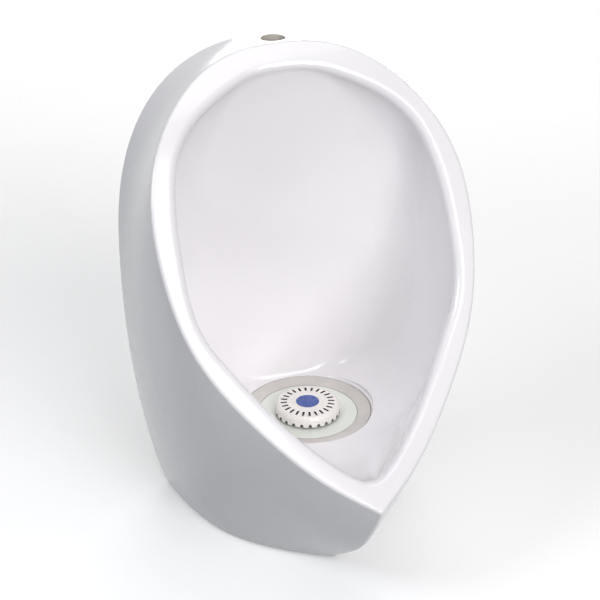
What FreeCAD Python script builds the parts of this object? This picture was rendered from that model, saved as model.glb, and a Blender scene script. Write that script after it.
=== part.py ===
"""Wall hung waterless urinal: a ceramic body with a lift-out trap cartridge.

Millimetres. +X is to the right of someone facing the wall, +Y points into the wall,
+Z is up. The shapes are drawn with Z = 0 at the edge of the trap's dish and Y = 0 on
the wall, and every piece is then moved down, so that the origin of the finished part
lies on the wall, midway between the four hanger screws.
"""
import FreeCAD
import Part
import math
import os
from collections import namedtuple

V = FreeCAD.Vector
X_AXIS, Y_AXIS, Z_AXIS = V(1, 0, 0), V(0, 1, 0), V(0, 0, 1)

# ---------------------------------------------------------------- ceramic body
# A station is one upright section of the body, parallel to the wall.
Station = namedtuple("Station", "depth low half_width wide_at top fullness")

HULL = [                       # outside of the body, from the wall to the lip
    Station(0, -300, 170.0, 158, 389, 2.10),
    Station(70, -250, 170.5, 160, 396, 2.10),
    Station(140, -200, 169.0, 212, 400, 1.90),
    Station(205, -138, 155.5, 216, 364, 1.40),
    Station(270, -85, 115.5, 206, 342, 1.15),
    Station(320, -27, 73.0, 162, 300, 0.90),
    Station(348, 24, 39.0, 148, 280, 0.90)]
BOWL = [                       # inside of the bowl, in front of its rounded back
    Station(124, 3.5, 141, 225, 367, 4.2),
    Station(160, 3.5, 142, 225, 367, 4.0),
    Station(190, 4.0, 138, 225, 362, 3.6),
    Station(213, 5.5, 122, 225, 355, 3.2),
    Station(240, 8.5, 103, 225, 350, 2.8),
    Station(265, 14, 85, 225, 345, 2.6),
    Station(290, 21, 62, 225, 340, 2.5),
    Station(314, 31, 36, 225, 335, 2.5),
    Station(345, 47, 14, 225, 330, 2.5)]
UPPER_POWER = 2.5              # superellipse above a station's widest height
HULL_LOWER_POWER = 2.0         # and below it
BOWL_LOWER_POWER = 2.2
STEPS_PER_QUARTER = 8
RUN_ON = 4                     # points past the middle that keep an outline level there

BOWL_BACK = 42.0               # depth of the bowl's back wall
BOWL_MIDDLE = 185.0            # height that the back wall is rounded about
BACK_ROUND_SIDE = 60.0         # depth in which the back rounds into the side walls
BACK_ROUND_END = 12.0          # and into the floor and the roof
BACK_ROUND_POWER = 2.3
BACK_ROUND_STEPS = (0.4, 1.2, 2.5, 4.5, 7, 10, 14, 20, 28, 38, 50, 64)

FRONT_PROFILE = [              # depth and height of the front, which the rim lies in
    (14, 420), (38, 390), (75, 347), (144, 254), (207, 151), (248, 98), (297, 47),
    (340, 8), (372, -16)]
WALL = 9.0                     # thickness of the ceramic
RIM_DEPTH = 14.0               # solid depth behind the face of the rim
RIM_SURFACE = Part.SurfaceOfExtrusion
OUTER_ROUND = 4.0              # of the rim, the keel below the lip and the underside
RIM_INNER_ROUND = 9.0
BOTTOM = -137.0                # open underside

INLET_RADIUS = 13.0            # unused water inlet in the top of the body
INLET_DEPTH = 18.0
INLET_PLUG = (377.0, 381.0)    # heights of the plug that closes it

# ---------------------------------------------------------------- drain and trap
DRAIN_DEPTH = 124.0            # distance of the drain's axis from the wall
BOSS_RADIUS = 77.0             # thick ring of ceramic round the drain hole
BOSS_UNDER = -15.0
SEAT_RADIUS = 69.4             # recess that the housing's flange lies in
SEAT_TOP = 3.4
SEAT_EDGE = 2.0                # width and rise of the sloping edge round it
GASKET_TOP, GASKET_UNDER = -1.0, -2.5

FLANGE_RADIUS = 68.8
FLANGE_TOP = 3.2
FLANGE_LAND = 65.5             # where its upper face starts to fall to the dish
HOUSING_RADIUS = 58.0          # threaded for the lock nut
HOUSING_THREAD_END = -36.0
HOUSING_BODY = 51.0
HOUSING_BOTTOM, HOUSING_FLOOR = -104.0, -100.0
BORE_RADIUS = 47.6             # the trap's seals run in it
WASHER_THICK, NUT_THICK = 3.0, 12.0
NUT_RADIUS, NUT_RIBS = 68.0, 12

MOVING_GAP = 0.3               # between faces that move past each other
DISH_RADIUS = 54.0
DISH_THICK = 3.0
DISH_FALL = 1.2                # from the dish's edge to its flat middle
DISH_HOLES, DISH_HOLE_RADIUS, DISH_HOLE_PLACE = 8, 4.5, 22.0
PLUG_RADIUS, PLUG_BOTTOM = 47.2, -24.0
SEAL_RADIUS = 2.0              # of the ring's round section
SEAL_FIT = 0.05
GROOVE_GAP = 0.1
SEAL_HEIGHTS = {"upper_seal": -9.0, "lower_seal": -17.0}
CUP_RADIUS, CUP_WALL, CUP_TOP, CUP_BOTTOM = 41.0, 2.0, -6.0, -80.0
BELL_RADIUS, BELL_WALL, BELL_TOP, BELL_BOTTOM = 30.0, 2.0, -28.0, -70.0
BELL_POST_RADIUS = 7.0
STANDPIPE_RADIUS, STANDPIPE_WALL = 14.0, 2.0
STANDPIPE_TOP, STANDPIPE_BOTTOM = -42.0, -90.0
COLLAR_RADIUS, COLLAR_THICK = 17.0, 3.0

CAP_PROFILE = [                # radius and height of the cap's outside
    (35.0, 0.6), (34.8, 7.0), (34.0, 9.4), (32.5, 11.0), (30.6, 11.8), (20.0, 12.5)
]
CAP_TOP = 12.6
CAP_WALL = 2.0
CAP_PEG_RADIUS, CAP_PEG_BOTTOM = 4.0, -15.0
CAP_SLOTS = 24                 # and as many notches in the skirt
SLOT_INNER, SLOT_OUTER, SLOT_WIDTH = 22.0, 29.5, 2.4
NOTCH_WIDTH, NOTCH_HEIGHT = 3.6, 3.4
DISC_RADIUS, DISC_THICK, DISC_RECESS = 12.6, 0.8, 0.4

# ---------------------------------------------------------------- outlet
OUTLET_HEIGHT = -74.0
PIPE_RADIUS, PIPE_WALL = 25.0, 2.4     # 50 mm waste pipe
PIPE_BEYOND_WALL = 40.0
PIPE_GROOVE = (1.0, 2.0, 0.6)          # from and to behind the wall's face, and its depth
PIPE_START, SOCKET_END = 66.0, 52.0    # distances from the wall
SOCKET_RADIUS = 28.5
OUTLET_SEAL_THICK = 5.0
OUTLET_NUT_RADIUS, OUTLET_NUT_LENGTH, OUTLET_NUT_LIP = 34.0, 20.0, 3.0
WALL_SEAL_RADIUS, WALL_SEAL_THICK = 38.0, 8.0

# ---------------------------------------------------------------- fixings
HANGER_HEIGHT = 270.0          # of the middle of the hanger screws, above the dish
HANGER_SPACING = 140.0
HANGER_SCREW_SPACING = 28.0
HANGER_WIDTH, HANGER_THICK = 44.0, 3.0
HANGER_UP, HANGER_DOWN = 24.0, 42.0
HOOK_REACH, HOOK_UP = 19.0, 15.0
PAD_THICK = 1.5
LUG_WIDTH, LUG_TOP, LUG_INTO_BOWL = 38.0, -21.5, 48.0
SCREW_RADIUS, SCREW_BEYOND_WALL = 3.0, 38.0
SCREW_SHANK, SCREW_HOLE = 3.5, 3.75    # radius under the head, and of the hanger's holes
SCREW_HEAD_RADIUS, SCREW_HEAD_THICK = 6.5, 3.5
ANCHOR_SPACING, ANCHOR_HEIGHT = 200.0, -95.0
ANCHOR_LUG = 16.0              # its thickness and half its height
ANCHOR_RADIUS, ANCHOR_BEYOND_WALL = 4.0, 38.0
ANCHOR_SHANK, ANCHOR_HOLE = 4.8, 5.5   # radius under the head, and of the ceramic's holes
ANCHOR_HEAD_RADIUS, ANCHOR_HEAD_THICK = 7.0, 5.0
ANCHOR_WASHER_RADIUS, ANCHOR_WASHER_THICK = 11.0, 2.0
ANCHOR_CAP_RADIUS, ANCHOR_CAP_THICK, ANCHOR_CAP_WALL = 10.0, 9.0, 1.5


# ---------------------------------------------------------------- helpers
def cylinder(radius, low, high, depth=DRAIN_DEPTH):
    """Upright cylinder between two heights."""
    return Part.makeCylinder(radius, high - low, V(0, -depth, low), Z_AXIS)


def tube(outer, inner, low, high):
    """Upright tube on the drain's axis."""
    return cylinder(outer, low, high).cut(cylinder(inner, low, high))


def rod(radius, depth, back, x, z):
    """Cylinder square to the wall, from a depth in front of it to y = back."""
    return Part.makeCylinder(radius, depth + back, V(x, -depth, z), Y_AXIS)


def sleeve(outer, inner, depth, back, x, z):
    """Tube square to the wall."""
    return rod(outer, depth, back, x, z).cut(rod(inner, depth, back, x, z))


def box(x_range, y_range, z_range):
    """Upright block between three pairs of limits."""
    size = [high - low for low, high in (x_range, y_range, z_range)]
    return Part.makeBox(*size, V(x_range[0], y_range[0], z_range[0]))


def turned(profile):
    """Solid of revolution about the drain's axis, from (radius, height) points."""
    points = [V(radius, -DRAIN_DEPTH, height) for radius, height in profile]
    face = Part.Face(Part.makePolygon(points + points[:1]))
    return face.revolve(V(0, -DRAIN_DEPTH, 0), Z_AXIS, 360)


def round_the_drain(shape, count):
    """Copies of a shape, evenly spaced about the drain's axis."""
    copies = []
    for number in range(count):
        copy = shape.copy()
        copy.rotate(V(0, -DRAIN_DEPTH, 0), Z_AXIS, 360 * number / count)
        copies.append(copy)
    return Part.makeCompound(copies)


def joined(shapes):
    """One solid from overlapping or touching shapes."""
    return shapes[0].fuse(shapes[1:]).removeSplitter()


def hanger_x(side):
    return side * HANGER_SPACING / 2


def anchor_places():
    return [side * ANCHOR_SPACING / 2 for side in (-1, 1)]


# ---------------------------------------------------------------- ceramic body
def half_outline(station, lower_power, upper_power=UPPER_POWER):
    """(x, z) points of a station, from its low point up to its top."""
    points = []
    for step in range(2 * STEPS_PER_QUARTER + 1):
        angle = math.pi / 2 * (step / STEPS_PER_QUARTER - 1)
        rise = math.sin(angle)
        if rise < 0:
            z = station.wide_at + rise * (station.wide_at - station.low)
            part = (1 - abs(rise) ** lower_power) ** (1 / station.fullness)
        else:
            z = station.wide_at + rise * (station.top - station.wide_at)
            part = (1 - rise ** upper_power) ** (1 / upper_power)
        points.append((station.half_width * part, z))
    return points


def running_length(rows):
    """Length along each row of points so far, averaged over the rows."""
    places = [0.0]
    for step in range(len(rows[0]) - 1):
        lengths = [row[step].distanceToPoint(row[step + 1]) for row in rows]
        places.append(places[-1] + sum(lengths) / len(lengths))
    return places


def smooth_curve(points, places):
    curve = Part.BSplineCurve()
    curve.interpolate(Points=list(points), Parameters=places)
    return curve


def outline(station, lower_power, level_low):
    """Points of a station's right half, run on past its ends to keep them level."""
    half = [V(x, -station.depth, z) for x, z in half_outline(station, lower_power)]
    other = [V(-point.x, point.y, point.z) for point in half]
    before = other[RUN_ON:0:-1] if level_low else []
    return before + half + other[-2:-2 - RUN_ON:-1]


def skinned(stations, lower_power, level_low):
    """Solid whose sides pass smoothly through the stations, with flat ends."""
    outlines = [outline(station, lower_power, level_low) for station in stations]
    places = running_length(outlines)
    curves = [smooth_curve(points, places) for points in outlines]
    lines = list(zip(*(curve.getPoles() for curve in curves)))
    depths = running_length(lines)
    lines = [smooth_curve(line, depths) for line in lines]
    across, along = curves[0], lines[0]
    surface = Part.BSplineSurface()
    surface.buildFromPolesMultsKnots(
        [line.getPoles() for line in lines],
        across.getMultiplicities(), along.getMultiplicities(),
        across.getKnots(), along.getKnots(), False, False, across.Degree, along.Degree)
    start = places[RUN_ON] if level_low else places[0]
    end = places[-1 - RUN_ON]
    surface.segment(start, end, depths[0], depths[-1])
    right = surface.toShape()
    faces = [right, right.mirror(V(0, 0, 0), X_AXIS)]
    for curve in (curves[0], curves[-1]):
        curve.segment(start, end)
        edge = curve.toShape()
        faces.append(Part.Face(Part.Wire([edge, edge.mirror(V(0, 0, 0), X_AXIS)])))
    shell = Part.Shell(faces)
    shell.sewShape()
    return Part.Solid(shell)


def hull(inset=0.0):
    """Outside of the body, or the surface that lies one wall inside it."""
    stations = []
    for station in HULL:
        depth = station.depth if station.depth or not inset else -5.0
        stations.append(station._replace(
            depth=depth, low=station.low + 1.4 * inset,
            half_width=station.half_width - inset, top=station.top - 1.4 * inset))
    return skinned(stations, HULL_LOWER_POWER, False)


def rounding(distance, length):
    """Share of its full size that the bowl has at a distance from its back wall."""
    left = max(1 - distance / length, 0)
    return (1 - left ** BACK_ROUND_POWER) ** (1 / BACK_ROUND_POWER)


def bowl(outset=0.0):
    """Inside of the bowl, or the surface that lies one wall outside it."""
    first = BOWL[0]
    stations = []
    for distance in BACK_ROUND_STEPS:
        side = rounding(distance, BACK_ROUND_SIDE)
        end = rounding(distance, BACK_ROUND_END)
        stations.append(first._replace(
            depth=BOWL_BACK + distance - outset,
            half_width=first.half_width * side + outset,
            low=BOWL_MIDDLE - (BOWL_MIDDLE - first.low) * end - outset,
            top=BOWL_MIDDLE + (first.top - BOWL_MIDDLE) * end + outset,
            wide_at=BOWL_MIDDLE + (first.wide_at - BOWL_MIDDLE) * end))
    for station in BOWL:
        stations.append(station._replace(
            half_width=station.half_width + outset,
            low=station.low - outset, top=station.top + outset))
    return skinned(stations, BOWL_LOWER_POWER, True)


def behind_front(shift=0.0):
    """Everything behind the front surface, moved back by shift."""
    reach, back, low, high = 260.0, 60.0, -400.0, 460.0
    points = [V(-reach, shift - depth, height) for depth, height in FRONT_PROFILE]
    curve = Part.BSplineCurve()
    curve.interpolate(Points=points)
    corners = [points[-1], V(-reach, points[-1].y, low), V(-reach, back, low),
               V(-reach, back, high), V(-reach, points[0].y, high), points[0]]
    wire = Part.Wire([curve.toShape()] + Part.makePolygon(corners).Edges)
    return Part.Face(wire).extrude(V(2 * reach, 0, 0))


def drain_seat():
    """Recess for the flange and its gasket, open upwards, and the hole below it."""
    edge = SEAT_RADIUS + SEAT_EDGE
    above = 40.0
    recess = turned([(0, GASKET_UNDER), (SEAT_RADIUS, GASKET_UNDER), (SEAT_RADIUS, SEAT_TOP),
                     (edge, SEAT_TOP + SEAT_EDGE), (edge, above), (0, above)])
    return recess.fuse(cylinder(HOUSING_RADIUS + 0.5, BOSS_UNDER - 1, GASKET_UNDER))


def hanger_lug(side):
    """Block behind the bowl, with a ledge that sits on the hanger's hook."""
    middle = hanger_x(side)
    across = (middle - LUG_WIDTH / 2, middle + LUG_WIDTH / 2)
    low = HANGER_HEIGHT - HANGER_DOWN + HANGER_THICK + PAD_THICK
    top = HANGER_HEIGHT + LUG_TOP
    lug = box(across, (-LUG_INTO_BOWL, -HANGER_THICK - MOVING_GAP), (low, top))
    slot_top = HANGER_HEIGHT - HANGER_DOWN + HANGER_THICK + HOOK_UP - 1
    slot = box(across, (-HOOK_REACH - MOVING_GAP, -HOOK_REACH + HANGER_THICK + MOVING_GAP),
               (low, slot_top))
    return lug.cut(slot)


def anchor_lug(x):
    """Block in the back edge of the body, that a lower screw passes through."""
    outer = math.copysign(HULL[0].half_width, x)
    inner = x - math.copysign(ANCHOR_LUG, x)
    return box(sorted((inner, outer)), (-ANCHOR_LUG, 0),
               (ANCHOR_HEIGHT - ANCHOR_LUG, ANCHOR_HEIGHT + ANCHOR_LUG))


def rim_edges(body, outer):
    """Outer or inner edges of the rim's face."""
    face = [face for face in body.Faces if isinstance(face.Surface, RIM_SURFACE)][0]
    wires = [wire for wire in face.Wires if wire.isSame(face.OuterWire) == outer]
    return [edge for wire in wires for edge in wire.Edges]


def lower_edges(body):
    """Keel from the lip down to the underside, and the underside's own edge."""
    found = []
    for edge in body.Edges:
        middle = edge.valueAt((edge.FirstParameter + edge.LastParameter) / 2)
        low = edge.BoundBox.ZMin < BOTTOM + 1
        if low and middle.y < -1:
            found.append(edge)
    return found


def solid_outside():
    """Body with its bowl but no hollow behind, its edges rounded."""
    above_bottom = box((-300, 300), (-500, 0), (BOTTOM, 500))
    body = hull().common(behind_front()).common(above_bottom)
    body = body.cut(bowl()).Solids[0]
    body = body.makeFillet(OUTER_ROUND, rim_edges(body, True) + lower_edges(body))
    return body.makeFillet(RIM_INNER_ROUND, rim_edges(body, False))


def ceramic_body():
    outside = solid_outside()
    hollow = hull(WALL).common(behind_front(RIM_DEPTH)).cut(bowl(WALL))
    boss = cylinder(BOSS_RADIUS, BOSS_UNDER, 20)
    lugs = [hanger_lug(side) for side in (-1, 1)] + [anchor_lug(x) for x in anchor_places()]
    body = outside.cut(hollow).fuse([part.common(outside) for part in [boss] + lugs])
    holes = [rod(ANCHOR_HOLE, 2 * ANCHOR_LUG, 1, x, ANCHOR_HEIGHT) for x in anchor_places()]
    inlet = cylinder(INLET_RADIUS, INLET_PLUG[0] - 10, HULL[0].top + 20, INLET_DEPTH)
    return body.cut([drain_seat(), inlet] + holes).removeSplitter().Solids[0]


def inlet_plug():
    return cylinder(INLET_RADIUS, *INLET_PLUG, INLET_DEPTH)


# ---------------------------------------------------------------- drain housing
def drain_housing():
    """Flanged pot in the drain hole, with a socket for the waste pipe."""
    seat = DISH_RADIUS + MOVING_GAP
    ledge = -DISH_THICK - MOVING_GAP
    pot = turned([
        (0, HOUSING_BOTTOM), (HOUSING_BODY, HOUSING_BOTTOM), (HOUSING_BODY, HOUSING_THREAD_END),
        (HOUSING_RADIUS, HOUSING_THREAD_END), (HOUSING_RADIUS, GASKET_TOP),
        (FLANGE_RADIUS, GASKET_TOP), (FLANGE_RADIUS, FLANGE_TOP - 0.8),
        (FLANGE_RADIUS - 0.8, FLANGE_TOP), (FLANGE_LAND, FLANGE_TOP), (seat + 1.5, 0.4),
        (seat, 0), (seat, ledge), (BORE_RADIUS, ledge), (BORE_RADIUS, HOUSING_FLOOR),
        (0, HOUSING_FLOOR)])
    inside = cylinder(BORE_RADIUS, HOUSING_FLOOR, ledge)
    socket = rod(SOCKET_RADIUS, DRAIN_DEPTH, -SOCKET_END, 0, OUTLET_HEIGHT)
    passage = rod(PIPE_RADIUS - PIPE_WALL, DRAIN_DEPTH, -PIPE_START, 0, OUTLET_HEIGHT)
    pipe_end = rod(PIPE_RADIUS, PIPE_START, -SOCKET_END, 0, OUTLET_HEIGHT)
    return pot.fuse(socket.cut(inside)).cut([passage, pipe_end]).removeSplitter()


def housing_gasket():
    return tube(FLANGE_RADIUS, HOUSING_RADIUS, GASKET_UNDER, GASKET_TOP)


def housing_washer():
    return tube(NUT_RADIUS + 4, HOUSING_RADIUS, BOSS_UNDER - WASHER_THICK, BOSS_UNDER)


def lock_nut():
    """Nut under the washer, with ribs for a strap wrench."""
    top = BOSS_UNDER - WASHER_THICK
    low = top - NUT_THICK
    rib = box((-3, 3), (-DRAIN_DEPTH - NUT_RADIUS - 3, -DRAIN_DEPTH - NUT_RADIUS + 2), (low, top))
    ribs = round_the_drain(rib, NUT_RIBS)
    return tube(NUT_RADIUS, HOUSING_RADIUS, low, top).fuse(ribs.Solids).removeSplitter()


# ---------------------------------------------------------------- outlet
def outlet_pipe():
    """Pipe into the wall, with a groove that marks the start of its free end."""
    start, end, depth = PIPE_GROOVE
    pipe = sleeve(PIPE_RADIUS, PIPE_RADIUS - PIPE_WALL, PIPE_START, PIPE_BEYOND_WALL,
                  0, OUTLET_HEIGHT)
    return pipe.cut(sleeve(PIPE_RADIUS + 1, PIPE_RADIUS - depth, -start, end,
                           0, OUTLET_HEIGHT))


def outlet_seal():
    return sleeve(SOCKET_RADIUS, PIPE_RADIUS, SOCKET_END, OUTLET_SEAL_THICK - SOCKET_END,
                  0, OUTLET_HEIGHT)


def outlet_nut():
    """Nut over the end of the socket, with a lip that presses the seal."""
    lip_at = SOCKET_END - OUTLET_SEAL_THICK
    start = lip_at - OUTLET_NUT_LIP + OUTLET_NUT_LENGTH
    nut = rod(OUTLET_NUT_RADIUS, start, OUTLET_NUT_LIP - lip_at, 0, OUTLET_HEIGHT)
    thread = rod(SOCKET_RADIUS, start, -lip_at, 0, OUTLET_HEIGHT)
    opening = rod(PIPE_RADIUS + 0.4, start, OUTLET_NUT_LIP - lip_at, 0, OUTLET_HEIGHT)
    return nut.cut([thread, opening])


def wall_seal():
    return sleeve(WALL_SEAL_RADIUS, PIPE_RADIUS, WALL_SEAL_THICK, 0, 0, OUTLET_HEIGHT)


# ---------------------------------------------------------------- trap cartridge
def groove(height):
    """Space for a seal and its clearance, in the side of the trap's plug."""
    half = SEAL_RADIUS + GROOVE_GAP
    floor = BORE_RADIUS - SEAL_FIT - 2 * SEAL_RADIUS - SEAL_FIT
    return tube(PLUG_RADIUS + 1, floor, height - half, height + half)


def trap_dish():
    """Dish with inlet holes, on a plug that carries the seals."""
    flat = CAP_PROFILE[0][0] + 1
    under = -DISH_THICK
    body = turned([
        (0, under), (CUP_RADIUS - CUP_WALL, under), (CUP_RADIUS - CUP_WALL, CUP_TOP),
        (CUP_RADIUS, CUP_TOP), (CUP_RADIUS, PLUG_BOTTOM), (PLUG_RADIUS, PLUG_BOTTOM),
        (PLUG_RADIUS, under), (DISH_RADIUS, under), (DISH_RADIUS, -0.5),
        (DISH_RADIUS - 0.5, 0), (flat, -DISH_FALL), (0, -DISH_FALL)])
    inlet = cylinder(DISH_HOLE_RADIUS, under - 1, 0, DRAIN_DEPTH + DISH_HOLE_PLACE)
    inlets = round_the_drain(inlet, DISH_HOLES)
    peg = cylinder(CAP_PEG_RADIUS, under, 0)
    grooves = [groove(height) for height in SEAL_HEIGHTS.values()]
    return body.cut(inlets.Solids + grooves + [peg])


def seal(height):
    """Rubber ring that stays in the bore's grip while the trap turns inside it."""
    middle = BORE_RADIUS - SEAL_FIT - SEAL_RADIUS
    return Part.makeTorus(middle, SEAL_RADIUS, V(0, -DRAIN_DEPTH, height), Z_AXIS)


def trap_cup():
    cup = cylinder(CUP_RADIUS, CUP_BOTTOM, CUP_TOP)
    inside = cylinder(CUP_RADIUS - CUP_WALL, CUP_BOTTOM + CUP_WALL, CUP_TOP)
    return cup.cut([inside, cylinder(STANDPIPE_RADIUS, CUP_BOTTOM, CUP_TOP)])


def standpipe():
    """Overflow tube, with a collar that stands on the cup's floor."""
    floor = CUP_BOTTOM + CUP_WALL
    collar = cylinder(COLLAR_RADIUS, floor, floor + COLLAR_THICK)
    outside = cylinder(STANDPIPE_RADIUS, STANDPIPE_BOTTOM, STANDPIPE_TOP).fuse(collar)
    return outside.cut(cylinder(STANDPIPE_RADIUS - STANDPIPE_WALL, STANDPIPE_BOTTOM,
                                STANDPIPE_TOP))


def trap_bell():
    """Bell over the standpipe, hung from the dish by a post."""
    inner = BELL_RADIUS - BELL_WALL
    bell = turned([
        (0, BELL_TOP - BELL_WALL - 2), (BELL_POST_RADIUS, BELL_TOP - BELL_WALL - 2),
        (BELL_POST_RADIUS, BELL_TOP - BELL_WALL), (inner, BELL_TOP - BELL_WALL),
        (inner, BELL_BOTTOM), (BELL_RADIUS, BELL_BOTTOM), (BELL_RADIUS, BELL_TOP),
        (BELL_POST_RADIUS, BELL_TOP), (BELL_POST_RADIUS, -DISH_THICK), (0, -DISH_THICK)])
    return bell.cut(cylinder(CAP_PEG_RADIUS, CAP_PEG_BOTTOM, 0))


def cap_slot():
    """One slot through the top of the cap, with round ends."""
    half = SLOT_WIDTH / 2
    ends = [DRAIN_DEPTH + SLOT_INNER + half, DRAIN_DEPTH + SLOT_OUTER - half]
    low, high = CAP_TOP - 3 * CAP_WALL, CAP_TOP + 1
    middle = box((-half, half), (-ends[1], -ends[0]), (low, high))
    return joined([middle] + [cylinder(half, low, high, end) for end in ends])


def cap_notch():
    """One round-topped notch in the lower edge of the skirt."""
    half = NOTCH_WIDTH / 2
    skirt, base = CAP_PROFILE[0]
    middle = base + NOTCH_HEIGHT - half
    reach = (DRAIN_DEPTH + skirt + 1, DRAIN_DEPTH + skirt - 2 * CAP_WALL)
    top = rod(half, reach[0], -reach[1], 0, middle)
    return top.fuse(box((-half, half), (-reach[0], -reach[1]), (base - 1, middle)))


def trap_cap():
    """Slotted cap over the trap's inlets, on a peg that goes down into the bell."""
    base = CAP_PROFILE[0][1]
    outside = turned([(0, base)] + CAP_PROFILE + [(0, CAP_TOP)])
    lining = [(max(radius - CAP_WALL, 0), max(height - CAP_WALL, base))
              for radius, height in CAP_PROFILE]
    inside = turned([(0, base)] + lining + [(0, CAP_TOP - CAP_WALL)])
    peg = cylinder(CAP_PEG_RADIUS, CAP_PEG_BOTTOM, CAP_TOP - 1)
    recess = cylinder(DISC_RADIUS, CAP_TOP - DISC_RECESS, CAP_TOP + 1)
    openings = round_the_drain(cap_slot(), CAP_SLOTS).Solids
    openings += round_the_drain(cap_notch(), CAP_SLOTS).Solids
    return outside.cut(inside).fuse(peg).cut(openings + [recess])


def cap_disc():
    low = CAP_TOP - DISC_RECESS
    return cylinder(DISC_RADIUS, low, low + DISC_THICK)


# ---------------------------------------------------------------- fixings
def hanger(side):
    """Steel strip on the wall, bent into a hook at its foot."""
    middle = hanger_x(side)
    across = (middle - HANGER_WIDTH / 2, middle + HANGER_WIDTH / 2)
    foot = HANGER_HEIGHT - HANGER_DOWN
    plate = box(across, (-HANGER_THICK, 0), (foot, HANGER_HEIGHT + HANGER_UP))
    shelf = box(across, (-HOOK_REACH, -HANGER_THICK), (foot, foot + HANGER_THICK))
    tip = box(across, (-HOOK_REACH, -HOOK_REACH + HANGER_THICK),
              (foot + HANGER_THICK, foot + HOOK_UP))
    holes = [rod(SCREW_HOLE, 2 * HANGER_THICK, 1, x, z) for x, z in hanger_screw_places()]
    return joined([plate, shelf, tip]).cut(holes)


def hanger_screw_places():
    return [(hanger_x(side), HANGER_HEIGHT + end * HANGER_SCREW_SPACING / 2)
            for side in (-1, 1) for end in (-1, 1)]


def hanger_pads():
    """Rubber pads between the hooks and the ceramic."""
    low = HANGER_HEIGHT - HANGER_DOWN + HANGER_THICK
    pads = []
    for side in (-1, 1):
        middle = hanger_x(side)
        pads.append(box((middle - LUG_WIDTH / 2, middle + LUG_WIDTH / 2),
                        (-HOOK_REACH + HANGER_THICK + 1, -HANGER_THICK - 1),
                        (low, low + PAD_THICK)))
    return Part.makeCompound(pads)


def hanger_screws():
    screws = []
    for x, z in hanger_screw_places():
        head = rod(SCREW_HEAD_RADIUS, HANGER_THICK + SCREW_HEAD_THICK, -HANGER_THICK, x, z)
        shank = rod(SCREW_SHANK, HANGER_THICK, 0, x, z)
        thread = rod(SCREW_RADIUS, HANGER_THICK, SCREW_BEYOND_WALL, x, z)
        screws.append(head.fuse([shank, thread]))
    return Part.makeCompound(screws)


def anchor_screws():
    """Lower screws, through the ceramic into the wall."""
    head_at = ANCHOR_LUG + ANCHOR_WASHER_THICK
    screws = []
    for x in anchor_places():
        head = rod(ANCHOR_HEAD_RADIUS, head_at + ANCHOR_HEAD_THICK, -head_at, x, ANCHOR_HEIGHT)
        shank = rod(ANCHOR_SHANK, head_at, 0, x, ANCHOR_HEIGHT)
        thread = rod(ANCHOR_RADIUS, head_at, ANCHOR_BEYOND_WALL, x, ANCHOR_HEIGHT)
        screws.append(head.fuse([shank, thread]))
    return Part.makeCompound(screws)


def anchor_washers():
    front = ANCHOR_LUG + ANCHOR_WASHER_THICK
    return Part.makeCompound([
        sleeve(ANCHOR_WASHER_RADIUS, ANCHOR_SHANK, front, -ANCHOR_LUG, x, ANCHOR_HEIGHT)
        for x in anchor_places()])


def anchor_caps():
    """Plastic caps over the heads of the lower screws."""
    back = ANCHOR_LUG + ANCHOR_WASHER_THICK
    front = back + ANCHOR_CAP_THICK
    inner = ANCHOR_CAP_RADIUS - ANCHOR_CAP_WALL
    return Part.makeCompound([
        rod(ANCHOR_CAP_RADIUS, front, -back, x, ANCHOR_HEIGHT).cut(
            rod(inner, front - ANCHOR_CAP_WALL, -back, x, ANCHOR_HEIGHT))
        for x in anchor_places()])


# ---------------------------------------------------------------- the pieces
def pieces():
    """Every piece by name."""
    shapes = {
        "ceramic_body": ceramic_body(), "inlet_plug": inlet_plug(),
        "drain_housing": drain_housing(), "housing_gasket": housing_gasket(),
        "housing_washer": housing_washer(), "lock_nut": lock_nut(),
        "outlet_pipe": outlet_pipe(), "outlet_seal": outlet_seal(),
        "outlet_nut": outlet_nut(), "wall_seal": wall_seal(),
        "trap_dish": trap_dish(), "trap_cup": trap_cup(), "standpipe": standpipe(),
        "trap_bell": trap_bell(), "trap_cap": trap_cap(), "cap_disc": cap_disc(),
        "left_hanger": hanger(-1), "right_hanger": hanger(1), "hanger_pads": hanger_pads(),
        "hanger_screws": hanger_screws(), "anchor_screws": anchor_screws(),
        "anchor_washers": anchor_washers(), "anchor_caps": anchor_caps()}
    for name, height in SEAL_HEIGHTS.items():
        shapes[name] = seal(height)
    return shapes


def main():
    os.makedirs("parts", exist_ok=True)
    for name, shape in pieces().items():
        shape.translate(V(0, 0, -HANGER_HEIGHT))
        shape.exportStep(os.path.join("parts", name + ".step"))
        points = shape.tessellate(0.1)[0]
        size = [round(max(values) - min(values), 1) for values in zip(*points)]
        print(name, "valid" if shape.isValid() else "INVALID", len(shape.Solids), "solids", size)


if __name__ == "__main__":
    main()
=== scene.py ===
"""Looks of a wall hung waterless urinal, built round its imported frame.

Metres. +X is to the right of someone facing the wall, +Y points into the wall and +Z is up.
Outlines of turned pieces are in millimetres: distance from the axis, then place along it.
On the drain's upright axis that is the height above the edge of the trap's dish, and on
the axes square to the wall it is the distance behind the wall's face.
"""

import math

import bmesh
import bpy
from bpy.props import FloatProperty, FloatVectorProperty, PointerProperty
from mathutils import Matrix, Vector


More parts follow.
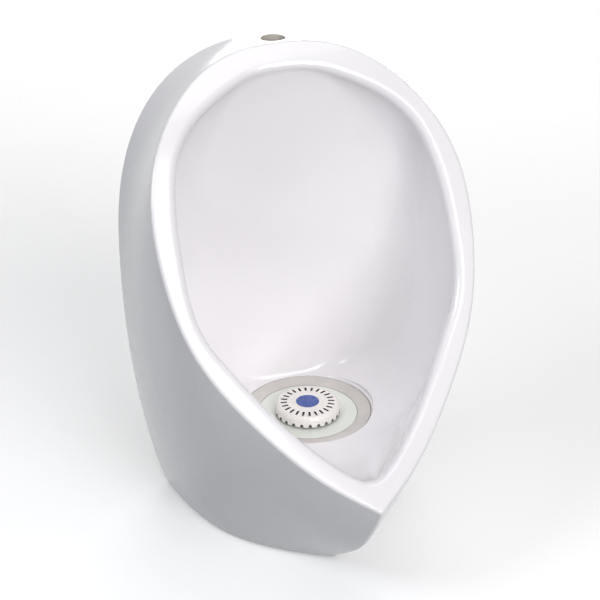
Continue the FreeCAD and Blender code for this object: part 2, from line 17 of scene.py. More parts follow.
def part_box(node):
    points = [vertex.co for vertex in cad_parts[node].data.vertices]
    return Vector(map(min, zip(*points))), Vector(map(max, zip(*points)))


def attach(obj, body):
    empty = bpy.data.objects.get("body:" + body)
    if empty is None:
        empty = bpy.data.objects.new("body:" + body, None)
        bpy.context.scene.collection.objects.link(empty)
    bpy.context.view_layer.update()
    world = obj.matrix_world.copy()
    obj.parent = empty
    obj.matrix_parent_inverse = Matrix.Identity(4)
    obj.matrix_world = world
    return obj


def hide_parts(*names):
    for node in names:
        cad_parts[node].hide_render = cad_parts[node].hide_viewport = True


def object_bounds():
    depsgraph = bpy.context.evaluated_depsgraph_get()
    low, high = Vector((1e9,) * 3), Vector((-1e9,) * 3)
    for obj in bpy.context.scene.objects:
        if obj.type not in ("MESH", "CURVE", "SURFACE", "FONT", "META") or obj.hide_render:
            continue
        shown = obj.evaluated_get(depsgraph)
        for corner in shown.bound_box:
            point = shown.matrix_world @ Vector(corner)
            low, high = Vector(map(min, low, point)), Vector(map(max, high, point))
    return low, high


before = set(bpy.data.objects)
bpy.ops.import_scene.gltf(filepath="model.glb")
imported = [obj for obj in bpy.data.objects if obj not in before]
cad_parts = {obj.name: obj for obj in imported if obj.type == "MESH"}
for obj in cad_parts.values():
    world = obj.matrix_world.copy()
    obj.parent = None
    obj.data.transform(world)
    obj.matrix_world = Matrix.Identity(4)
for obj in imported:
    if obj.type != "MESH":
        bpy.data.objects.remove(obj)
CAD_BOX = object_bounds()

bl_info = {
    "name": "Wall hung urinal",
    "version": (1, 0, 0),
    "blender": (4, 5, 0),
    "location": "3D View > Sidebar > Urinal",
    "description": "Glazed bowl, trap cartridge, drain and fixings on a packed frame",
    "category": "Add Mesh",
}

# ---------------------------------------------------------------- places and sizes
MM = 0.001
UP = Vector((0, 0, 1))
INTO_WALL = Vector((0, 1, 0))
DRAIN = Vector((0, -0.124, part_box("trap_dish")[1][2]))
OUTLET_DROP = 0.074            # the outlet's axis below the dish's edge
OUTLET = Vector((0, 0, DRAIN.z - OUTLET_DROP))
ROUND_STEPS = 96               # faces round a large turned piece
SMALL_STEPS = 40               # and round a small one
SHARP = math.radians(32)       # edges bent further than this are left crisp
FLAT = math.radians(0.6)       # faces bent less than this are made one
MERGE = 4e-6                   # vertices nearer than this are made one
FINE_EDGE = 0.0003             # rounding of the edges of small pieces

URINAL, SEALS, TRAP = "urinal", "seals", "trap"


class UrinalSizes(bpy.types.PropertyGroup):
    """Sizes of the finish that the frame doesn't hold."""
    edge_round: FloatProperty(
        name="Moulded edge", description="Rounding of the edges of moulded plastic",
        default=0.0005, min=0.0001, max=0.002, subtype="DISTANCE", unit="LENGTH")
    steel_round: FloatProperty(
        name="Steel edge", description="Rounding of the edges of pressed steel",
        default=0.0006, min=0.0001, max=0.002, subtype="DISTANCE", unit="LENGTH")
    thread_pitch: FloatProperty(
        name="Housing thread", description="Pitch of the thread on the drain housing",
        default=0.003, min=0.001, max=0.006, subtype="DISTANCE", unit="LENGTH")
    screw_pitch: FloatProperty(
        name="Screw thread", description="Pitch of the thread on the wall screws",
        default=0.0022, min=0.001, max=0.004, subtype="DISTANCE", unit="LENGTH")
    camera_distance: FloatProperty(
        name="Camera distance", description="From the camera to the point it looks at",
        default=1.71273, min=0.5, subtype="DISTANCE", unit="LENGTH")
    camera_azimuth: FloatProperty(
        name="Camera azimuth", description="Turn of the camera about the object",
        default=math.radians(-19.5), subtype="ANGLE", unit="ROTATION")
    camera_elevation: FloatProperty(
        name="Camera elevation", description="Rise of the camera above the horizon",
        default=math.radians(28.05), subtype="ANGLE", unit="ROTATION")


def colour(name, description, default):
    return FloatVectorProperty(name=name, description=description, default=default,
                               size=3, min=0, max=1, subtype="COLOR")


class UrinalColours(bpy.types.PropertyGroup):
    """Colours of the finishes."""
    glaze: colour("Glaze", "White glaze of the bowl", (0.86, 0.845, 0.86))
    glaze_shade: colour("Glaze, shaded", "Where the glaze is thinner", (0.825, 0.805, 0.825))
    bisque: colour("Unglazed ceramic", "Back edge and hollow", (0.68, 0.64, 0.58))
    ring: colour("Drain housing", "Beige grey plastic", (0.645, 0.615, 0.585))
    dish: colour("Trap dish", "Pale plastic, faintly green", (0.80, 0.835, 0.765))
    cap: colour("Trap cap", "Warm white plastic", (0.86, 0.83, 0.79))
    disc: colour("Cap disc", "Blue plastic", (0.010, 0.07, 0.36))
    # Painted shade: this near black stands for the shade in the cap's slots, notches and lining.
    slots: colour("Cap slots", "Dark inside of the cap", (0.012, 0.016, 0.032))
    inside: colour("Trap's inner pieces", "White plastic", (0.78, 0.78, 0.76))
    pipe: colour("Pipe and nuts", "Grey plastic", (0.36, 0.37, 0.38))
    rubber: colour("Rubber", "Black rubber", (0.018, 0.018, 0.019))
    steel: colour("Zinc plate", "Zinc plated steel", (0.58, 0.59, 0.61))
    floor: colour("Floor", "White floor", (0.90, 0.90, 0.90))


# ---------------------------------------------------------------- materials
class Finish:
    """A material's node tree, with the few building blocks that the finishes share."""

    def __init__(self, name):
        self.material = bpy.data.materials.new(name)
        self.material.use_nodes = True
        self.tree = self.material.node_tree
        self.shader = self.tree.nodes["Principled BSDF"]
        self.place = self.add("ShaderNodeTexCoord").outputs["Object"]

    def add(self, kind, **settings):
        node = self.tree.nodes.new(kind)
        for key, value in settings.items():
            setattr(node, key, value)
        return node

    def link(self, source, target):
        self.tree.links.new(source, target)

    def set(self, **values):
        """Sets the shader's sockets: Coat_Weight=1 sets the one named Coat Weight."""
        for key, value in values.items():
            self.shader.inputs[key.replace("_", " ")].default_value = value

    def stretched(self, scale, turn=(0, 0, 0)):
        mapping = self.add("ShaderNodeMapping")
        mapping.inputs["Scale"].default_value = scale
        mapping.inputs["Rotation"].default_value = turn
        self.link(self.place, mapping.inputs["Vector"])
        return mapping.outputs["Vector"]

    def noise(self, scale, detail=2.0, roughness=0.5, place=None):
        node = self.add("ShaderNodeTexNoise")
        node.inputs["Scale"].default_value = scale
        node.inputs["Detail"].default_value = detail
        node.inputs["Roughness"].default_value = roughness
        self.link(place or self.place, node.inputs["Vector"])
        return node.outputs["Fac"]

    def ranged(self, value, low, high, start=0.3, end=0.7):
        """A value spread over a new range."""
        node = self.add("ShaderNodeMapRange")
        for socket, number in (("From Min", start), ("From Max", end),
                               ("To Min", low), ("To Max", high)):
            node.inputs[socket].default_value = number
        self.link(value, node.inputs["Value"])
        return node.outputs["Result"]

    def mixed(self, factor, first, second):
        """Two colours mixed, each a colour or a socket."""
        node = self.add("ShaderNodeMix", data_type="RGBA")
        self.link(factor, node.inputs["Factor"])
        for socket, value in (("A", first), ("B", second)):
            target = [entry for entry in node.inputs
                      if entry.name == socket and entry.type == "RGBA"][0]
            if isinstance(value, bpy.types.NodeSocket):
                self.link(value, target)
            else:
                target.default_value = (*value, 1)
        return [entry for entry in node.outputs if entry.type == "RGBA"][0]

    def speckled(self, scale, low, high):
        """Small spots, 1 inside a spot and 0 outside."""
        node = self.add("ShaderNodeTexVoronoi")
        node.inputs["Scale"].default_value = scale
        self.link(self.place, node.inputs["Vector"])
        return self.ranged(node.outputs["Distance"], 1, 0, low, high)

    def bumps(self, *layers):
        """Bump from (height, strength, distance) layers, one on the other."""
        normal = None
        for height, strength, distance in layers:
            bump = self.add("ShaderNodeBump")
            bump.inputs["Strength"].default_value = strength
            bump.inputs["Distance"].default_value = distance
            self.link(height, bump.inputs["Height"])
            if normal:
                self.link(normal, bump.inputs["Normal"])
            normal = bump.outputs["Normal"]
        self.link(normal, self.shader.inputs["Normal"])

    def colour_from(self, socket):
        self.link(socket, self.shader.inputs["Base Color"])

    def roughness_from(self, socket):
        self.link(socket, self.shader.inputs["Roughness"])


def shade(rgb, factor):
    return tuple(min(max(value * factor, 0), 1) for value in rgb)


def glaze_finish(colours):
    """Vitreous china: white, glossy, with a faint waviness and a few pinholes."""
    finish = Finish("glazed_ceramic")
    clouds = finish.ranged(finish.noise(7, 3), 0, 1)
    body = finish.mixed(clouds, colours.glaze, colours.glaze_shade)
    specks = finish.speckled(210, 0.02, 0.035)
    finish.colour_from(finish.mixed(specks, body, shade(colours.glaze_shade, 0.86)))
    finish.roughness_from(finish.ranged(finish.noise(24, 3), 0.10, 0.17))
    finish.bumps((finish.noise(16, 1), 0.25, 0.0006),
                 (finish.noise(240, 1), 0.05, 0.0002),
                 (specks, 0.15, -0.0001))
    finish.set(IOR=1.52, Coat_Weight=0.3, Coat_Roughness=0.06)
    return finish.material


def bisque_finish(colours):
    """Unglazed ceramic: matt, with fine pits and faint stains."""
    finish = Finish("unglazed_ceramic")
    stains = finish.ranged(finish.noise(11, 5, 0.6), 0, 1)
    body = finish.mixed(stains, colours.bisque, shade(colours.bisque, 0.86))
    pits = finish.speckled(520, 0.05, 0.12)
    finish.colour_from(finish.mixed(pits, body, shade(colours.bisque, 0.7)))
    finish.roughness_from(finish.ranged(finish.noise(60, 4), 0.72, 0.92))
    finish.bumps((finish.noise(90, 5, 0.65), 0.35, 0.0006), (pits, 0.5, -0.0004))
    return finish.material


def plastic_finish(name, base, rough, grain=900, relief=0.12, tint=0.94, coat=0.0):
    """Moulded plastic: faint cloudy colour, a fine grain and a few handling marks."""
    finish = Finish(name)
    clouds = finish.ranged(finish.noise(45, 3), 0, 1)
    finish.colour_from(finish.mixed(clouds, base, shade(base, tint)))
    marks = finish.noise(60, 6, 0.7, finish.stretched((1, 1, 6), (0.4, 0.2, 0)))
    finish.roughness_from(finish.ranged(marks, rough - 0.05, rough + 0.08))
    finish.bumps((finish.noise(grain, 2), relief, 0.00012),
                 (finish.noise(70, 1), 0.10, 0.0002))
    finish.set(IOR=1.5, Coat_Weight=coat, Coat_Roughness=0.12)
    return finish.material


def rubber_finish(colours):
    """Black rubber: matt, with a dusty bloom in patches."""
    finish = Finish("black_rubber")
    bloom = finish.ranged(finish.noise(80, 5, 0.65), 0, 1, 0.45, 0.75)
    dust = (0.05, 0.05, 0.048)
    finish.colour_from(finish.mixed(bloom, colours.rubber, dust))
    finish.roughness_from(finish.ranged(finish.noise(160, 3), 0.50, 0.68))
    finish.bumps((finish.noise(1400, 2), 0.18, 0.0001), (finish.noise(120, 2), 0.12, 0.0002))
    finish.set(Specular_IOR_Level=0.35)
    return finish.material


def steel_finish(colours):
    """Zinc plated steel: rolled grain, cloudy plating and faint spangle."""
    finish = Finish("zinc_steel")
    spangle = finish.add("ShaderNodeTexVoronoi")
    spangle.inputs["Scale"].default_value = 190
    finish.link(finish.place, spangle.inputs["Vector"])
    patches = finish.ranged(spangle.outputs["Distance"], 0, 1, 0.1, 0.8)
    plated = finish.mixed(patches, colours.steel, shade(colours.steel, 0.84))
    warm = finish.ranged(finish.noise(30, 4), 0, 0.45, 0.45, 0.75)
    yellowed = (0.60, 0.56, 0.44)
    finish.colour_from(finish.mixed(warm, plated, yellowed))
    rolled = finish.noise(70, 4, 0.6, finish.stretched((1, 1, 14)))
    finish.roughness_from(finish.ranged(rolled, 0.26, 0.44))
    finish.bumps((rolled, 0.12, 0.0001), (finish.noise(700, 2), 0.08, 0.0001))
    finish.set(Metallic=1.0)
    return finish.material


MATERIALS = {}


def make_materials(colours):
    """Every finish by its name: the record's slots, and three that are parts of a piece."""
    MATERIALS.update({
        "glazed_ceramic": glaze_finish(colours),
        "unglazed": bisque_finish(colours),
        "black_rubber": rubber_finish(colours),
        "beige_plastic": plastic_finish("beige_plastic", colours.ring, 0.34,
                                        grain=700, relief=0.16, tint=0.92),
        "white_plastic": plastic_finish("white_plastic", colours.inside, 0.30),
        "cap_plastic": plastic_finish("cap_plastic", colours.cap, 0.22,
                                      relief=0.08, tint=0.96, coat=0.4),
        # Painted shade for the cap's slots, notches and lining, on a plastic finish.
        "painted_slot_shade": plastic_finish("painted_slot_shade", colours.slots, 0.5),
        "dish_plastic": plastic_finish("dish_plastic", colours.dish, 0.20,
                                       relief=0.06, tint=0.95, coat=0.5),
        "blue_plastic": plastic_finish("blue_plastic", colours.disc, 0.24,
                                       grain=800, relief=0.08, tint=0.85, coat=0.3),
        "grey_plastic": plastic_finish("grey_plastic", colours.pipe, 0.42,
                                       grain=500, relief=0.20, tint=0.9),
        "zinc_steel": steel_finish(colours)})


# ---------------------------------------------------------------- mesh helpers
def round_edges(bm, width, segments=3):
    """Rounds every sharp edge."""
    edges = [edge for edge in bm.edges
             if len(edge.link_faces) == 2 and edge.calc_face_angle(0) > SHARP]
    if edges:
        bmesh.ops.bevel(bm, geom=edges, offset=width, offset_type="OFFSET",
                        segments=segments, profile=0.5, affect="EDGES", material=-1,
                        clamp_overlap=True)


def shade_smooth(bm):
    for face in bm.faces:
        face.smooth = True
    for edge in bm.edges:
        edge.smooth = len(edge.link_faces) == 2 and edge.calc_face_angle(0) < SHARP


def edges_of(made):
    """The edges of what a mesh operator has just made."""
    return list({edge for vert in made["verts"] for edge in vert.link_edges})


def piece(name, bm, body, nodes, slot, materials=None):
    """Makes a mesh an object that rides on a body and stands for CAD nodes."""
    mesh = bpy.data.meshes.new(name)
    bm.to_mesh(mesh)
    bm.free()
    made = bpy.data.objects.new(name, mesh)
    bpy.context.scene.collection.objects.link(made)
    for entry in materials or [slot]:
        mesh.materials.append(MATERIALS[entry])
    weighted = made.modifiers.new("even shading", "WEIGHTED_NORMAL")
    weighted.keep_sharp = True
    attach(made, body)
    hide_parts(*nodes)


def copied(node):
    """A CAD node's mesh with its loose triangles merged."""
    bm = bmesh.new()
    bm.from_mesh(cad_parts[node].data)
    bmesh.ops.remove_doubles(bm, verts=bm.verts, dist=MERGE)
    for face in bm.faces:
        face.material_index = 0
    return bm


def copied_with_round_edges(node, width, segments=2):
    """A CAD node's mesh with its flat faces made whole and its sharp edges rounded."""
    bm = copied(node)
    bmesh.ops.dissolve_limit(bm, angle_limit=FLAT, verts=bm.verts,
                             edges=bm.edges, use_dissolve_boundaries=False)
    round_edges(bm, width, segments)
    shade_smooth(bm)
    return bm


def turn(bm, profile, place, axis, steps):
    """Adds a closed (distance from axis, height) outline, in mm, spun full round."""
    side = axis.orthogonal().normalized()
    corners = [bm.verts.new(place + side * (radius * MM) + axis * (height * MM))
               for radius, height in profile]
    edges = [bm.edges.new((corners[index - 1], corners[index]))
             for index in range(len(corners))]
    bmesh.ops.spin(bm, geom=corners + edges, cent=place, axis=axis, dvec=(0, 0, 0),
                   angle=2 * math.pi, steps=steps, use_merge=True, use_duplicate=False)


def turned(profile, places, axis=UP, *, width, steps=ROUND_STEPS):
    """Turned solids of one outline at several places, with edges rounded to a width."""
    bm = bmesh.new()
    for place in places:
        turn(bm, profile, place, axis, steps)
    bmesh.ops.remove_doubles(bm, verts=bm.verts, dist=MERGE)
    bmesh.ops.recalc_face_normals(bm, faces=bm.faces)
    if width:
        round_edges(bm, width)
    shade_smooth(bm)
    return bm


def ridges(radius, depth, low, high, pitch):
    """Outline of a thread, from its low end up: crests at radius, roots inside it."""
    count = max(int(abs(high - low) / pitch), 1)
    step = (high - low) / count
    rise, crest, fall, foot = 0.15, 0.42, 0.58, 0.85    # shares of the pitch
    points = [(radius - depth, low)]
    for number in range(count):
        start = low + number * step
        points += [(radius - depth, start + rise * step), (radius, start + crest * step),
                   (radius, start + fall * step), (radius - depth, start + foot * step)]
    return points + [(radius - depth, high)]


# ---------------------------------------------------------------- operators
class URINAL_OT_body(bpy.types.Operator):
    """Glazed body with its unglazed back, and the plug in its top"""
    bl_idname = "urinal.body"
    bl_label = "Body"

    SEAT_REACH = 0.078             # the drain's seat lies within this of its axis
    SEAT_UNDER = 0.002             # and no further than this below the dish's edge

    def execute(self, context):
        bm = copied("ceramic_body")
        shade_smooth(bm)
        glazed = self.glazed_faces(bm)
        for face in bm.faces:
            face.material_index = 0 if face in glazed else 1
        piece("glazed_body", bm, URINAL, ["ceramic_body"], "glazed_ceramic",
              ["glazed_ceramic", "unglazed"])
        low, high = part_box("inlet_plug")
        radius = (high[0] - low[0]) / 2 / MM
        height = (high[2] - low[2]) / MM
        place = Vector(((low[0] + high[0]) / 2, (low[1] + high[1]) / 2, low[2]))
        plug = turned([(0, 0), (radius, 0), (radius, height - 1.5), (radius - 2.5, height - 1.5),
                       (radius - 3.5, height), (0, height)], [place], width=0.0004,
                      steps=SMALL_STEPS)
        piece("rubber_plug", plug, URINAL, ["inlet_plug"], "black_rubber")
        return {"FINISHED"}

    def glazed_faces(self, bm):
        """Faces joined smoothly to the front of the rim, and the seat of the drain."""
        bm.faces.ensure_lookup_table()
        start = min(bm.faces, key=lambda face: face.calc_center_median().y)
        found, waiting = {start}, [start]
        while waiting:
            face = waiting.pop()
            for edge in face.edges:
                if not edge.smooth:
                    continue
                for other in edge.link_faces:
                    if other not in found:
                        found.add(other)
                        waiting.append(other)
        for face in bm.faces:
            middle = face.calc_center_median()
            from_axis = (middle.xy - DRAIN.xy).length
            if from_axis < self.SEAT_REACH and middle.z > DRAIN.z - self.SEAT_UNDER:
                found.add(face)
        return found


class URINAL_OT_drain(bpy.types.Operator):
    """Drain housing with its gasket, washer and lock nut"""
    bl_idname = "urinal.drain"
    bl_label = "Drain housing"

    THREAD_RADIUS, THREAD_DEPTH, THREAD_ROOT = 58.0, 1.0, 56.5     # mm, as are the ends
    THREAD_LOW, THREAD_HIGH = -35.6, -2.6

    def execute(self, context):
        sizes = context.scene.urinal_sizes
        housing = copied_with_round_edges("drain_housing", sizes.edge_round * 1.2, 3)
        pitch = sizes.thread_pitch / MM
        low, high = self.THREAD_LOW, self.THREAD_HIGH
        thread = ridges(self.THREAD_RADIUS, self.THREAD_DEPTH, low, high, pitch)
        outline = [(self.THREAD_ROOT, low)] + thread + [(self.THREAD_ROOT, high)]
        turn(housing, outline, DRAIN, UP, ROUND_STEPS)
        bmesh.ops.remove_doubles(housing, verts=housing.verts, dist=MERGE / 4)
        shade_smooth(housing)
        piece("housing", housing, URINAL, ["drain_housing"], "beige_plastic")
        gasket = turned([(58, -2.5), (68.8, -2.5), (68.8, -1), (58, -1)], [DRAIN],
                        width=FINE_EDGE)
        piece("flange_gasket", gasket, URINAL, ["housing_gasket"], "black_rubber")
        washer = turned([(58, -18), (72, -18), (72, -15), (58, -15)], [DRAIN],
                        width=sizes.edge_round)
        piece("flat_washer", washer, URINAL, ["housing_washer"], "white_plastic")
        nut = copied_with_round_edges("lock_nut", sizes.edge_round)
        piece("ribbed_lock_nut", nut, URINAL, ["lock_nut"], "grey_plastic")
        return {"FINISHED"}


class URINAL_OT_outlet(bpy.types.Operator):
    """Waste pipe with its nut and seals"""
    bl_idname = "urinal.outlet"
    bl_label = "Outlet"

    GRIPS = 18
    GRIP_SIZE = (0.0026, 0.015, 0.0018)    # across, along the nut and out of it
    GRIP_DEPTH, GRIP_RADIUS = 0.0545, 0.0339
    GRIP_ROUND = 0.0005

    def execute(self, context):
        sizes = context.scene.urinal_sizes
        inner = 22.6
        pipe = turned([(inner, -66), (25, -66), (25, 1), (24.4, 1), (24.4, 2), (25, 2),
                       (25, 38), (24, 40), (inner, 40)], [OUTLET], INTO_WALL, width=0.0002)
        piece("waste_pipe", pipe, URINAL, ["outlet_pipe"], "grey_plastic")
        seal = turned([(25, -52), (28.5, -52), (28.5, -47), (25, -47)], [OUTLET],
                      INTO_WALL, width=FINE_EDGE)
        piece("socket_seal", seal, URINAL, ["outlet_seal"], "black_rubber")
        nut = turned([(28.5, -64), (34, -64), (34, -44), (25.4, -44), (25.4, -47),
                      (28.5, -47)], [OUTLET], INTO_WALL, width=sizes.edge_round)
        self.add_grips(nut)
        piece("socket_nut", nut, URINAL, ["outlet_nut"], "grey_plastic")
        collar = turned([(25, -8), (33, -8), (38, -3), (38, 0), (25, 0)], [OUTLET],
                        INTO_WALL, width=0.0008)
        piece("wall_collar", collar, URINAL, ["wall_seal"], "black_rubber")
        return {"FINISHED"}

    def add_grips(self, bm):
        """Low ribs along the nut, for the fingers."""
        shape = Matrix.Diagonal((*self.GRIP_SIZE, 1))
        at = Matrix.Translation(OUTLET + Vector((0, -self.GRIP_DEPTH, 0)))
        out = Matrix.Translation((0, 0, self.GRIP_RADIUS))
        for number in range(self.GRIPS):
            turned_by = Matrix.Rotation(2 * math.pi * number / self.GRIPS, 4, "Y")
            made = bmesh.ops.create_cube(bm, size=1, matrix=at @ turned_by @ out @ shape)
            bmesh.ops.bevel(bm, geom=edges_of(made), offset=self.GRIP_ROUND,
                            offset_type="OFFSET", segments=2, profile=0.5,
                            affect="EDGES", material=-1)
        shade_smooth(bm)


class URINAL_OT_trap(bpy.types.Operator):
    """Trap cartridge below its cap: dish, cup, standpipe, bell and seals"""
    bl_idname = "urinal.trap"
    bl_label = "Trap"

    SECTION_STEPS = 20             # faces round the section of a rubber ring

    def execute(self, context):
        sizes = context.scene.urinal_sizes
        dish = copied_with_round_edges("trap_dish", sizes.edge_round * 1.4, 3)
        piece("dish", dish, TRAP, ["trap_dish"], "dish_plastic")
        cup = turned([(14, -80), (41, -80), (41, -6), (39, -6), (39, -78), (14, -78)],
                     [DRAIN], width=sizes.edge_round)
        piece("cup", cup, TRAP, ["trap_cup"], "white_plastic")
        pipe = turned([(12, -90), (14, -90), (14, -78), (17, -78), (17, -75), (14, -75),
                       (14, -42), (12, -42)], [DRAIN], width=FINE_EDGE)
        piece("overflow_tube", pipe, TRAP, ["standpipe"], "white_plastic")
        bell = copied_with_round_edges("trap_bell", sizes.edge_round)
        piece("bell", bell, TRAP, ["trap_bell"], "white_plastic")
        for node in ("upper_seal", "lower_seal"):
            low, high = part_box(node)
            section = (high[2] - low[2]) / 2
            reach = (high[0] - low[0]) / 2 - section
            ring = bmesh.new()
            middle = Vector((reach, DRAIN.y, (low[2] + high[2]) / 2))
            made = bmesh.ops.create_circle(
                ring, segments=self.SECTION_STEPS, radius=section,
                matrix=Matrix.Translation(middle) @ Matrix.Rotation(math.pi / 2, 4, "X"))
            bmesh.ops.spin(ring, geom=made["verts"] + edges_of(made), cent=DRAIN, axis=UP,
                           dvec=(0, 0, 0), angle=2 * math.pi, steps=ROUND_STEPS,
                           use_merge=True, use_duplicate=False)
            bmesh.ops.recalc_face_normals(ring, faces=ring.faces)
            shade_smooth(ring)
            piece(node.replace("_seal", "_ring"), ring, SEALS, [node], "black_rubber")
        return {"FINISHED"}


class URINAL_OT_cap(bpy.types.Operator):
    """Slotted cap of the trap and its plain blue disc"""
    bl_idname = "urinal.cap"
    bl_label = "Cap"

    EDGE_ROUND = 0.00035
    PEG, RECESS, SKIRT = 0.0045, 0.0135, 0.0325    # distances from the axis
    SHOULDER, CROWN = 7, 11                        # heights above the dish's edge, mm
    OUTWARD, UPWARD = 0.3, 0.25    # a face that leans at least so far counts as outside

    def execute(self, context):
        cap = copied_with_round_edges("trap_cap", self.EDGE_ROUND)
        # Painted shade: the slot walls, notches and lining take the near black finish.
        self.paint_shade_inside(cap)
        piece("slotted_cap", cap, TRAP, ["trap_cap"], "white_plastic",
              ["cap_plastic", "painted_slot_shade"])
        low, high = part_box("cap_disc")
        radius = (high[0] - low[0]) / 2 / MM
        thick = (high[2] - low[2]) / MM
        place = Vector((DRAIN.x, DRAIN.y, low[2]))
        disc = turned([(0, 0), (radius, 0), (radius, thick * 0.75), (radius - 0.5, thick),
                       (0, thick)], [place], width=0.0002, steps=SMALL_STEPS * 2)
        piece("blue_disc", disc, TRAP, ["cap_disc"], "blue_plastic")
        return {"FINISHED"}

    def paint_shade_inside(self, bm):
        """Paints shade: gives the walls of the slots and notches and the cap's lining a near
        black plastic that stands for the shade inside the cap.
        """
        for face in bm.faces:
            middle = face.calc_center_median()
            out = Vector((middle.x, middle.y - DRAIN.y, 0))
            height = (middle.z - DRAIN.z) / MM
            leans_out = face.normal.dot(out.normalized()) > self.OUTWARD
            skirt = leans_out and out.length > self.SKIRT
            top = face.normal.z > self.UPWARD and height > self.SHOULDER
            peg = out.length < self.PEG
            recess = out.length < self.RECESS and height > self.CROWN
            if not (skirt or top or peg or recess):
                face.material_index = 1


class URINAL_OT_fixings(bpy.types.Operator):
    """Hangers with their pads and screws, and the lower screws"""
    bl_idname = "urinal.fixings"
    bl_label = "Fixings"

    HANGER_X, HANGER_Z = (-0.07, 0.07), (-0.014, 0.014)
    ANCHOR_X, ANCHOR_DROP = (-0.1, 0.1), 0.095     # the drop is below the dish's edge
    ANCHOR_PITCH = 1.3             # times that of the hangers' screws

    def execute(self, context):
        sizes = context.scene.urinal_sizes
        for node in ("left_hanger", "right_hanger"):
            strip = copied_with_round_edges(node, sizes.steel_round, 3)
            piece(node.replace("hanger", "hook"), strip, URINAL, [node], "zinc_steel")
        pads = copied_with_round_edges("hanger_pads", FINE_EDGE)
        piece("hook_pads", pads, URINAL, ["hanger_pads"], "black_rubber")
        pitch = sizes.screw_pitch / MM
        hanger_places = [Vector((x, 0, z)) for x in self.HANGER_X for z in self.HANGER_Z]
        screw = [(0, -6.5), (4.4, -6.5), (6.5, -4.4), (6.5, -3), (3.5, -3), (3.5, 0), (3.0, 0),
                 (3.0, 4)]
        screw += ridges(3.0, 0.6, 4.2, 33, pitch) + [(1.6, 35), (0, 38)]
        screws = turned(screw, hanger_places, INTO_WALL, width=0, steps=SMALL_STEPS)
        piece("pan_head_screws", screws, URINAL, ["hanger_screws"], "zinc_steel")
        anchor_places = [Vector((x, 0, DRAIN.z - self.ANCHOR_DROP)) for x in self.ANCHOR_X]
        anchor = [(0, -23), (5.8, -23), (7, -21.8), (7, -18), (4.8, -18), (4.8, 0), (4, 0),
                  (4, 3)]
        anchor += ridges(4.0, 0.8, 3.2, 32, pitch * self.ANCHOR_PITCH)
        anchor += [(2.2, 34.5), (0, 38)]
        anchors = turned(anchor, anchor_places, INTO_WALL, width=0, steps=SMALL_STEPS)
        piece("lower_screws", anchors, URINAL, ["anchor_screws"], "zinc_steel")
        washers = turned([(4.8, -18), (11, -18), (11, -16), (4.8, -16)], anchor_places,
                         INTO_WALL, width=FINE_EDGE, steps=SMALL_STEPS)
        piece("lower_washers", washers, URINAL, ["anchor_washers"], "zinc_steel")
        caps = turned([(0, -27), (7.5, -27), (9.4, -25.8), (10, -24), (10, -18), (8.5, -18),
                       (8.5, -25.5), (0, -25.5)], anchor_places, INTO_WALL,
                      width=FINE_EDGE, steps=SMALL_STEPS)
        piece("screw_caps", caps, URINAL, ["anchor_caps"], "white_plastic")
        return {"FINISHED"}


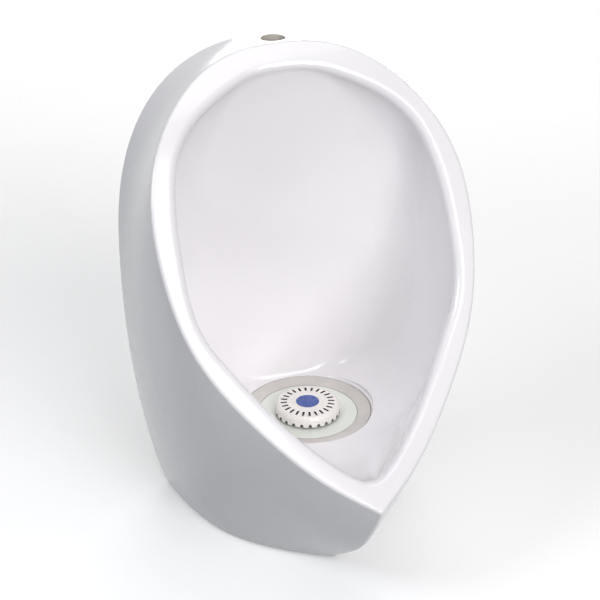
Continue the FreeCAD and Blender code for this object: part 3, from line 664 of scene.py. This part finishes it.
class URINAL_OT_stage(bpy.types.Operator):
    """Floor, soft light and the camera"""
    bl_idname = "urinal.stage"
    bl_label = "Stage"

    TARGET = Vector((0, -0.100, -0.1454))
    ROLL = math.radians(-0.09)
    LENS, SENSOR = 96.67, 36       # mm
    FLOOR_GAP = 0.003
    LAMPS = (                      # name, place, width, power and tint
        ("front", (0.35, -2.3, 0.45), 1.4, 26, (1.0, 0.985, 0.985)),
        ("high front", (0.15, -1.9, 1.25), 1.4, 13, (1.0, 0.985, 0.985)),
        ("overhead", (0.2, -0.5, 1.9), 1.4, 9, (1.0, 0.985, 1.0)),
        ("left", (-1.5, -0.4, 1.3), 1.0, 14, (0.93, 0.96, 1.0)),
        ("behind", (0.9, 2.2, 0.2), 2.2, 40, (1.0, 0.99, 0.98)))
    WORLD_TINT, WORLD_STRENGTH = (0.86, 0.93, 1.0, 1), 0.07
    FLOOR_RADIUS = 4.0
    FLOOR_FADE = (0.7, 1.6)        # distances at which it starts to fade and is gone
    # The floor is nearly white and glows where it is seen, and throws back less light.
    FLOOR_BOUNCE = (0.16, 0.19, 0.21)
    FLOOR_GLOW = 0.25

    def execute(self, context):
        self.make_floor(context)
        self.make_world(context)
        for lamp in self.LAMPS:
            self.make_lamp(*lamp)
        self.make_camera(context)
        return {"FINISHED"}

    def make_floor(self, context):
        bm = bmesh.new()
        level = CAD_BOX[0][2] - self.FLOOR_GAP
        bmesh.ops.create_circle(bm, cap_ends=True, segments=64, radius=self.FLOOR_RADIUS,
                                matrix=Matrix.Translation((0, 0, level)))
        mesh = bpy.data.meshes.new("floor")
        bm.to_mesh(mesh)
        bm.free()
        floor = bpy.data.objects.new("floor", mesh)
        context.scene.collection.objects.link(floor)
        finish = Finish("floor")
        finish.set(Roughness=0.9)
        seen = self.seen_directly(finish.add)
        pale = finish.mixed(seen, self.FLOOR_BOUNCE, tuple(context.scene.urinal_colours.floor))
        finish.colour_from(pale)
        glow = finish.ranged(seen, 0, self.FLOOR_GLOW, 0, 1)
        finish.link(glow, finish.shader.inputs["Emission Strength"])
        distance = finish.add("ShaderNodeVectorMath", operation="LENGTH")
        finish.link(finish.place, distance.inputs[0])
        fade = finish.ranged(distance.outputs["Value"], 1, 0, *self.FLOOR_FADE)
        # Clear from underneath, so that the object can be looked at from below.
        above = finish.add("ShaderNodeMath", operation="SUBTRACT", use_clamp=True)
        finish.link(fade, above.inputs[0])
        finish.link(finish.add("ShaderNodeNewGeometry").outputs["Backfacing"], above.inputs[1])
        finish.link(above.outputs[0], finish.shader.inputs["Alpha"])
        mesh.materials.append(finish.material)

    def make_world(self, context):
        world = bpy.data.worlds.new("studio")
        context.scene.world = world
        world.use_nodes = True
        nodes, links = world.node_tree.nodes, world.node_tree.links
        soft = nodes["Background"]
        soft.inputs["Color"].default_value = self.WORLD_TINT
        soft.inputs["Strength"].default_value = self.WORLD_STRENGTH
        white = nodes.new("ShaderNodeBackground")
        white.inputs["Strength"].default_value = 1.0
        white.inputs["Color"].default_value = (1, 1, 1, 1)
        mix = nodes.new("ShaderNodeMixShader")
        links.new(self.seen_directly(nodes.new), mix.inputs["Fac"])
        links.new(soft.outputs["Background"], mix.inputs[1])
        links.new(white.outputs["Background"], mix.inputs[2])
        links.new(mix.outputs["Shader"], nodes["World Output"].inputs["Surface"])

    def seen_directly(self, add):
        """1 for rays from the camera, also by way of a reflection or through glass."""
        path = add("ShaderNodeLightPath")
        links = path.id_data.links
        total = path.outputs["Is Camera Ray"]
        for ray in ("Is Glossy Ray", "Is Transmission Ray"):
            either = add("ShaderNodeMath")
            either.operation = "MAXIMUM"
            links.new(total, either.inputs[0])
            links.new(path.outputs[ray], either.inputs[1])
            total = either.outputs[0]
        return total

    def make_lamp(self, name, place, size, power, tint):
        data = bpy.data.lights.new(name, "AREA")
        data.shape = "DISK"
        data.size = size
        data.energy = power
        data.color = tint
        lamp = bpy.data.objects.new(name, data)
        bpy.context.scene.collection.objects.link(lamp)
        lamp.location = place
        aim = self.TARGET - Vector(place)
        lamp.rotation_euler = aim.to_track_quat("-Z", "Y").to_euler()

    def make_camera(self, context):
        sizes = context.scene.urinal_sizes
        azimuth, elevation = sizes.camera_azimuth, sizes.camera_elevation
        back = Vector((math.sin(azimuth) * math.cos(elevation),
                       -math.cos(azimuth) * math.cos(elevation), math.sin(elevation)))
        data = bpy.data.cameras.new("camera")
        data.lens = self.LENS
        data.sensor_width = self.SENSOR
        camera = bpy.data.objects.new("camera", data)
        context.scene.collection.objects.link(camera)
        camera.location = self.TARGET + back * sizes.camera_distance
        turn_to = (-back).to_track_quat("-Z", "Y").to_matrix()
        camera.rotation_euler = (turn_to @ Matrix.Rotation(self.ROLL, 3, "Z")).to_euler()
        context.scene.camera = camera
        context.scene.view_settings.view_transform = "Standard"


# ---------------------------------------------------------------- panel and run
OPERATORS = (URINAL_OT_body, URINAL_OT_drain, URINAL_OT_outlet, URINAL_OT_trap,
             URINAL_OT_cap, URINAL_OT_fixings, URINAL_OT_stage)


class URINAL_PT_panel(bpy.types.Panel):
    """Lists the pieces of the urinal and their settings"""
    bl_idname = "URINAL_PT_panel"
    bl_label = "Wall hung urinal"
    bl_space_type = "VIEW_3D"
    bl_region_type = "UI"
    bl_category = "Urinal"

    def draw(self, context):
        for operator in OPERATORS:
            self.layout.operator(operator.bl_idname)
        for group in (context.scene.urinal_sizes, context.scene.urinal_colours):
            for name in group.bl_rna.properties.keys():
                if name not in ("rna_type", "name"):
                    self.layout.prop(group, name)


CLASSES = (UrinalSizes, UrinalColours) + OPERATORS + (URINAL_PT_panel,)


def register():
    for entry in CLASSES:
        bpy.utils.register_class(entry)
    bpy.types.Scene.urinal_sizes = PointerProperty(type=UrinalSizes)
    bpy.types.Scene.urinal_colours = PointerProperty(type=UrinalColours)


def unregister():
    del bpy.types.Scene.urinal_colours
    del bpy.types.Scene.urinal_sizes
    for entry in reversed(CLASSES):
        bpy.utils.unregister_class(entry)


def main():
    register()
    make_materials(bpy.context.scene.urinal_colours)
    bpy.ops.urinal.body()
    bpy.ops.urinal.drain()
    bpy.ops.urinal.outlet()
    bpy.ops.urinal.trap()
    bpy.ops.urinal.cap()
    bpy.ops.urinal.fixings()
    bpy.ops.urinal.stage()


if __name__ == "__main__":
    main()
